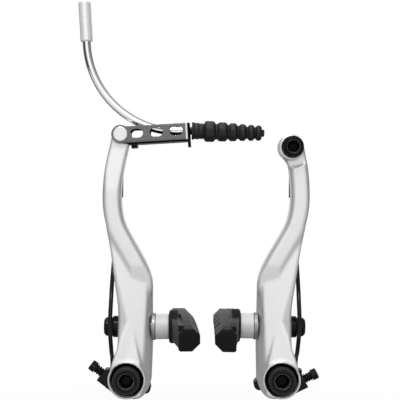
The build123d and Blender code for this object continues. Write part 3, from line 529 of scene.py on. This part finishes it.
def ring(name: str, around: int, radius: float, place: Vector, turn: float = 0.0) -> bpy.types.Object:
    """Draw the ring of points that a hollow shape starts from, and select it in edit mode.

    Args:
        name: The piece's name.
        around: How many points the ring has.
        radius: Its radius in metres.
        place: Its centre in metres.
        turn: Its turn about X, from facing along Z.

    Returns:
        The new piece, which is active.
    """
    bpy.ops.object.select_all(action="DESELECT")
    bpy.ops.mesh.primitive_circle_add(vertices=around, radius=radius, location=place, rotation=(turn, 0, 0))
    piece = bpy.context.object
    piece.name = name
    bpy.ops.object.transform_apply(location=True, rotation=True, scale=True)
    bpy.ops.object.mode_set(mode="EDIT")
    bpy.ops.mesh.select_all(action="SELECT")
    return piece


def turned(name: str, profile: Sequence[Band], around: int) -> bpy.types.Object:
    """Model a turned shape along Z, each ring extruded from the last.

    Args:
        name: The piece's name.
        profile: Height and radius of each ring in millimetres, the last the same as the first.
        around: How many points a ring has.

    Returns:
        The new piece, which is active.
    """
    height, radius = profile[0]
    piece = ring(name, around, radius * MM, Vector((0, 0, height)) * MM)
    for next_height, next_radius in profile[1:]:
        rise = (0, 0, (next_height - height) * MM)
        bpy.ops.mesh.extrude_region_move(TRANSFORM_OT_translate={"value": rise})
        grow = next_radius / radius
        bpy.ops.transform.resize(value=(grow, grow, 1), center_override=(0, 0, next_height * MM))
        height, radius = next_height, next_radius
    close_mesh()
    return piece


# Sub-assemblies


@dataclass
class ArmSide:
    """One arm with its pivot, spring and shoe hardware, in millimetres and degrees."""

    side: Side
    lean: float = 1.3
    wire_r: float = 1.0
    wire_sides: int = 5
    wire_steps: int = 14
    wire_path: tuple[Point, ...] = (
        (9.0, 13.8, -3.0), (9.0, 13.8, 1.5), (8.3, 6.8, 7.0), (7.6, -4.2, 13.6), (7.85, -6.7, 23.5),
        (7.75, -3.2, 36.0), (7.75, 7.4, 51.5), (5.3, 6.9, 76.0), (4.55, 6.5, 85.5), (4.4, 6.5, 96.0),
    )
    flex_from: Point = (9.0, 13.8, 2.0)
    flex_to: Point = (7.6, -4.2, 13.6)

    def place(self, x: float, y: float, z: float) -> Vector:
        """Carry a point drawn about the right pivot to this side.

        Args:
            x: How far out from the pivot.
            y: How far behind it.
            z: How far above it.

        Returns:
            The point in metres.
        """
        turn = math.radians(self.lean) if self.side is Side.RIGHT else 0.0
        out = PIVOT_X + x * math.cos(turn) + z * math.sin(turn)
        return Vector((self.side.value * out, y, z * math.cos(turn) - x * math.sin(turn))) * MM

    def wire(self) -> None:
        """Draw the return spring as one bent wire."""
        bpy.ops.object.select_all(action="DESELECT")
        bpy.ops.curve.primitive_bezier_curve_add(location=(0, 0, 0))
        wire = bpy.context.object
        wire.name = self.side.node("spring_wire")
        spline = wire.data.splines[0]
        spline.bezier_points.add(len(self.wire_path) - len(spline.bezier_points))
        for knot, point in zip(spline.bezier_points, self.wire_path):
            knot.co = self.place(*point)
            knot.handle_left_type = knot.handle_right_type = "AUTO"
        spline.bezier_points[0].handle_right_type = "VECTOR"
        spline.bezier_points[1].handle_left_type = "VECTOR"
        wire.data.bevel_depth = self.wire_r * MM
        wire.data.bevel_resolution = self.wire_sides
        wire.data.resolution_u = self.wire_steps
        wire.data.use_fill_caps = True
        bpy.ops.object.convert(target="MESH")
        bpy.ops.object.shade_smooth()
        dress(Look.WIRE, wire)
        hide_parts(self.side.node("return_spring"))
        low, high = self.place(*self.flex_from), self.place(*self.flex_to)
        self.side.node("arm_body")
        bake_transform(wire)

    def build(self) -> None:
        """Make this side's own pieces and dress the rest."""
        self.wire()
        looks = {
            Look.ARM: ("arm",),
            Look.PIVOT_BOLT: ("fixing_bolt",),
            Look.BUSH: ("pivot_bushing",),
            Look.PLASTIC: ("spring_holder", "spring_sleeve", "tension_screw"),
            Look.SHOE: ("brake_shoe",),
            Look.DOME: ("inner_dome_washer", "shoe_post"),
            Look.SPACER: ("inner_cup_spacer",),
            Look.WASHER: ("outer_dome_washer", "outer_cup_washer", "shoe_nut"),
        }
        for look, pieces in looks.items():
            dress(look, *(self.side.node(piece) for piece in pieces))


@dataclass
class CableGuide:
    """The link, the bent guide pipe and the rubber boot on its end, in millimetres and degrees."""

    pipe_r: float = 1.95
    pipe_wall: float = 0.75
    pipe_top: float = 48.0
    pipe_end: float = 29.85
    pipe_around: int = 64
    pipe_smooth: float = 40.0
    bend_r: float = 43.2
    bend_end: float = 29.4
    bend_steps: int = 90
    boot_at: float = 33.0
    boot_droop: float = 5.2
    boot_l: float = 34.0
    boot_around: int = 56
    boot_smooth: float = 60.0
    boot_bore: float = 2.55
    boot_neck: tuple[Band, ...] = (
        (0.0, 4.1), (1.0, 4.1), (1.5, 3.7), (3.0, 4.0), (3.5, 3.55), (4.9, 3.75), (5.5, 3.3),
    )
    # Where each rib begins and ends, and its radius
    boot_ribs: tuple[Point, ...] = (
        (5.9, 10.9, 4.9), (12.1, 16.6, 4.5), (17.4, 21.2, 4.25), (22.1, 25.4, 3.95), (26.3, 29.3, 3.75),
        (29.9, 32.7, 3.6),
    )
    rib_round: float = 0.75
    rib_soft: float = 0.3
    rib_soft_steps: int = 3
    rib_soft_from: float = 20.0
    groove: float = 1.3
    groove_at: float = 0.4
    tip_l: float = 1.2
    tip_r: float = 1.65
    hole_l: float = 2.2
    hole_r: float = 0.9
    funnel_l: float = 2.0
    funnel_r: float = 1.8

    def axes(self) -> Matrix:
        """Return the link's own frame: along it, up across it, and towards the viewer.

        Returns:
            The frame, with its origin on the link's pin.
        """
        turn = math.radians(LINK_TILT)
        along = (math.cos(turn), 0, math.sin(turn))
        across = (-math.sin(turn), 0, math.cos(turn))
        turned_axes = Matrix((along, across, (0, -1, 0))).transposed().to_4x4()
        return Matrix.Translation(Vector(LINK_PIN) * MM) @ turned_axes

    def pipe(self) -> None:
        """Bend the guide pipe: a ring drawn straight, spun round the bend, and given its wall."""
        top = Vector((self.bend_end - self.bend_r, self.pipe_top, 0)) * MM
        pipe = ring("bent_guide_pipe", self.pipe_around, self.pipe_r * MM, top, math.pi / 2)
        down = (0, (self.bend_r - self.pipe_top) * MM, 0)
        bpy.ops.mesh.extrude_region_move(TRANSFORM_OT_translate={"value": down})
        middle = (self.bend_end * MM, self.bend_r * MM, 0)
        bpy.ops.mesh.spin(steps=self.bend_steps, angle=-math.pi / 2, center=middle, axis=(0, 0, 1))
        out = ((self.pipe_end - self.bend_end) * MM, 0, 0)
        bpy.ops.mesh.extrude_region_move(TRANSFORM_OT_translate={"value": out})
        close_mesh()
        modify(pipe, "SOLIDIFY", thickness=self.pipe_wall * MM, offset=-1)
        settle(pipe, self.axes())
        bpy.ops.object.shade_smooth_by_angle(angle=math.radians(self.pipe_smooth))
        dress(Look.PIPE, pipe)
        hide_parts("noodle_pipe")
        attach(pipe, "guide_pipe")

    def boot_profile(self) -> list[Band]:
        """Return the boot's outline from its mouth over the ribs to the tip, and back inside.

        Returns:
            Height and radius of each ring, the last the same as the first.
        """
        profile = [(0.0, self.boot_bore), *self.boot_neck]
        for begin, end, radius in self.boot_ribs:
            profile += [(begin, radius - self.rib_round), (begin + self.rib_round, radius)]
            profile += [(end - self.rib_round, radius), (end, radius - self.rib_round)]
            profile += [(end + self.groove_at, radius - self.groove)]
        profile[-1] = (self.boot_l - self.tip_l, self.tip_r)
        hole_end = self.boot_l - self.hole_l
        profile += [(self.boot_l, self.tip_r), (self.boot_l, self.hole_r), (hole_end, self.hole_r)]
        profile += [(hole_end - self.funnel_l, self.funnel_r), (0.0, self.boot_bore)]
        return profile

    def boot(self) -> None:
        """Model the bellows ring by ring, with rounded ribs that shrink towards the tip."""
        boot = turned("bellows_boot", self.boot_profile(), self.boot_around)
        modify(
            boot,
            "BEVEL",
            width=self.rib_soft * MM,
            segments=self.rib_soft_steps,
            limit_method="ANGLE",
            angle_limit=math.radians(self.rib_soft_from),
        )
        droop = Matrix.Rotation(math.radians(-self.boot_droop), 4, "Z")
        along = Matrix.Rotation(math.pi / 2, 4, "Y")
        settle(boot, self.axes() @ Matrix.Translation((self.boot_at * MM, 0, 0)) @ droop @ along)
        bpy.ops.object.shade_smooth_by_angle(angle=math.radians(self.boot_smooth))
        dress(Look.BOOT, boot)
        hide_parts("rubber_boot")
        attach(boot, "guide_pipe")

    def build(self) -> None:
        """Make the pipe and the boot, and dress the link."""
        self.pipe()
        self.boot()
        dress(Look.LINK, "link_bracket")
        dress(Look.PIN, "link_pin")
        dress(Look.FERRULE, "noodle_ferrule")
        dress(Look.WASHER, "noodle_nose")
        dress(Look.LINER, "noodle_liner")


@dataclass
class CableClamp:
    """The bolt and the washer on the right arm that hold the cable."""

    bolt: str = "cable_bolt"
    washer: str = "cable_clamp_washer"

    def build(self) -> None:
        """Dress both pieces."""
        dress(Look.BOLT, self.bolt)
        dress(Look.WASHER, self.washer)


# Studio


@dataclass
class Floor:
    """A pale floor that the eye sees as white, with the object's shadow left in, in metres."""

    z: float = -40 * MM
    size: float = 3.0
    shadow_reach: Band = (90 * MM, 260 * MM)
    shown_white: float = 0.8
    shown_colour: Colour = grey(0.8)
    front: Band = (30 * MM, 200 * MM)
    mirrored_front: float = 0.4
    mirrored_least: float = 0.05
    bounce_front: Colour = grey(0.6)
    bounce_back: Colour = grey(0.2)

    def material(self) -> bpy.types.Material:
        """Build the floor's material: white to the eye, and to other rays pale in front and dim behind.

        Returns:
            The new material.
        """
        made = bpy.data.materials.new("studio_floor")
        made.use_nodes = True
        graph = Graph(made.node_tree)
        place = graph.node("ShaderNodeTexCoord").of("Object")
        away = graph.step(graph.length(place), *self.shadow_reach)
        faded = away * (1 - self.shown_white) + self.shown_white
        front = graph.step(0 - graph.parts(place)[1], *self.front)
        rays = graph.node("ShaderNodeLightPath")
        seen = rays.of("Is Camera Ray").top(rays.of("Is Transmission Ray")) * faded
        bent = rays.of("Is Glossy Ray").top(rays.of("Is Diffuse Ray"))
        share = seen.top(bent * (front * self.mirrored_front + self.mirrored_least))
        bounced = graph.blend(front, self.bounce_back, self.bounce_front)
        colour = graph.blend(seen, bounced, self.shown_colour)
        plain = graph.node("ShaderNodeBsdfDiffuse", {}, {"Color": colour})
        white = graph.node("ShaderNodeEmission", {}, {"Color": grey(1.0), "Strength": 1.0})
        mixed = graph.node("ShaderNodeMixShader", {}, {0: share, 1: plain, 2: white})
        graph.node("ShaderNodeOutputMaterial", {}, {"Surface": mixed})
        return made

    def build(self) -> None:
        """Lay the floor under the object."""
        bpy.ops.object.select_all(action="DESELECT")
        bpy.ops.mesh.primitive_plane_add(size=self.size, location=(0, 0, self.z))
        floor = bpy.context.object
        floor.name = "studio_floor"
        bpy.ops.object.transform_apply(location=True, rotation=True, scale=True)
        floor.data.materials.append(self.material())
        LOG.info("%s laid", floor.name)


@dataclass
class Room:
    """The light from all around: each wall's strength, and where it fades in by direction."""

    least: float = 0.06
    front: float = 0.98
    front_ahead: Band = (0.1, 0.6)
    front_aside: Band = (0.3, 0.72)
    boxes: float = 0.2
    boxes_aside: Band = (0.3, 0.75)
    boxes_up: Band = (0.1, 0.3)
    boxes_behind: Band = (-0.1, 0.35)
    ceiling: float = 0.3
    ceiling_up: Band = (0.3, 0.95)
    back: float = 0.2
    back_behind: Band = (0.2, 0.9)
    mirrored: float = 0.85
    mirrored_behind: Band = (0.6, 0.97)

    def build(self) -> None:
        """Surround the object with a white room: bright in front and above, dim at the sides."""
        world = bpy.data.worlds.new("studio")
        world.use_nodes = True
        bpy.context.scene.world = world
        graph = Graph(world.node_tree)
        across, behind, up = graph.parts(graph.node("ShaderNodeTexCoord").of("Generated"))
        aside = abs(across)
        middle = 1 - graph.step(aside, *self.front_aside)
        front = graph.step(0 - behind, *self.front_ahead) * middle * self.front
        not_behind = 1 - graph.step(behind, *self.boxes_behind)
        raised = graph.step(aside, *self.boxes_aside) * graph.step(up, *self.boxes_up)
        boxes = raised * not_behind * self.boxes
        ceiling = graph.step(up, *self.ceiling_up) * self.ceiling
        back = graph.step(behind, *self.back_behind) * self.back
        rays = graph.node("ShaderNodeLightPath")
        mirrored = rays.of("Is Glossy Ray") * graph.step(behind, *self.mirrored_behind) * self.mirrored
        light = (front + boxes + ceiling + back + self.least).top(mirrored)
        seen = rays.of("Is Camera Ray").top(rays.of("Is Transmission Ray"))
        strength = light * (1 - seen) + seen
        background = graph.node("ShaderNodeBackground", {}, {"Color": grey(1.0), "Strength": strength})
        graph.node("ShaderNodeOutputWorld", {}, {"Surface": background})
        LOG.info("room lit")


@dataclass
class SoftBox:
    """One rectangular lamp, in metres and watts; a mirrored one shows in glossy surfaces."""

    name: str
    place: Point
    size: Band
    power: float
    mirrored: bool = True

    def hang(self, aim: Vector) -> None:
        """Hang the lamp.

        Args:
            aim: The point that it faces.
        """
        data = bpy.data.lights.new(self.name, "AREA")
        data.shape = "RECTANGLE"
        data.size, data.size_y = self.size
        data.energy = self.power
        lamp = bpy.data.objects.new(self.name, data)
        bpy.context.scene.collection.objects.link(lamp)
        lamp.location = self.place
        lamp.visible_glossy = self.mirrored
        lamp.rotation_mode = "QUATERNION"
        lamp.rotation_quaternion = (aim - Vector(self.place)).to_track_quat("-Z", "Y")
        LOG.info("%s hung", self.name)


@dataclass
class Studio:
    """The floor, the light and the camera, in millimetres."""

    eye: Point = (-1.9, -381.0, 82.4)
    lens: float = 73.1
    sensor: float = 36.0
    nearest: float = 10.0
    lamps: tuple[SoftBox, ...] = (
        SoftBox("key_box", (-0.1, -0.55, 0.8), (0.3, 0.2), 2.2),
        SoftBox("top_box", (-0.05, 0.05, 0.8), (0.25, 0.2), 1.2),
        SoftBox("rear_box", (0.1, 0.7, 0.5), (0.5, 0.4), 4.5, mirrored=False),
    )

    def camera(self) -> None:
        """Set the camera where the photograph was taken."""
        data = bpy.data.cameras.new("photograph")
        data.lens = self.lens
        data.sensor_width = self.sensor
        data.clip_start = self.nearest * MM
        camera = bpy.data.objects.new("photograph", data)
        bpy.context.scene.collection.objects.link(camera)
        camera.location = Vector(self.eye) * MM
        camera.rotation_euler = (math.pi / 2, 0, 0)
        bpy.context.scene.camera = camera
        LOG.info("camera set")

    def build(self) -> None:
        """Set up the whole studio, its lamps facing the object at the camera's height."""
        bpy.context.scene.view_settings.view_transform = "Standard"
        Floor().build()
        Room().build()
        aim = Vector((0, 0, self.eye[2])) * MM
        for lamp in self.lamps:
            lamp.hang(aim)
        self.camera()


def main() -> None:
    """Build and dress every sub-assembly, and set up the studio."""
    logging.basicConfig(level=logging.INFO, format="%(name)s: %(message)s")
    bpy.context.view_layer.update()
    for side in Side:
        ArmSide(side).build()
    CableGuide().build()
    CableClamp().build()
    Studio().build()


if __name__ == "__main__":
    main()
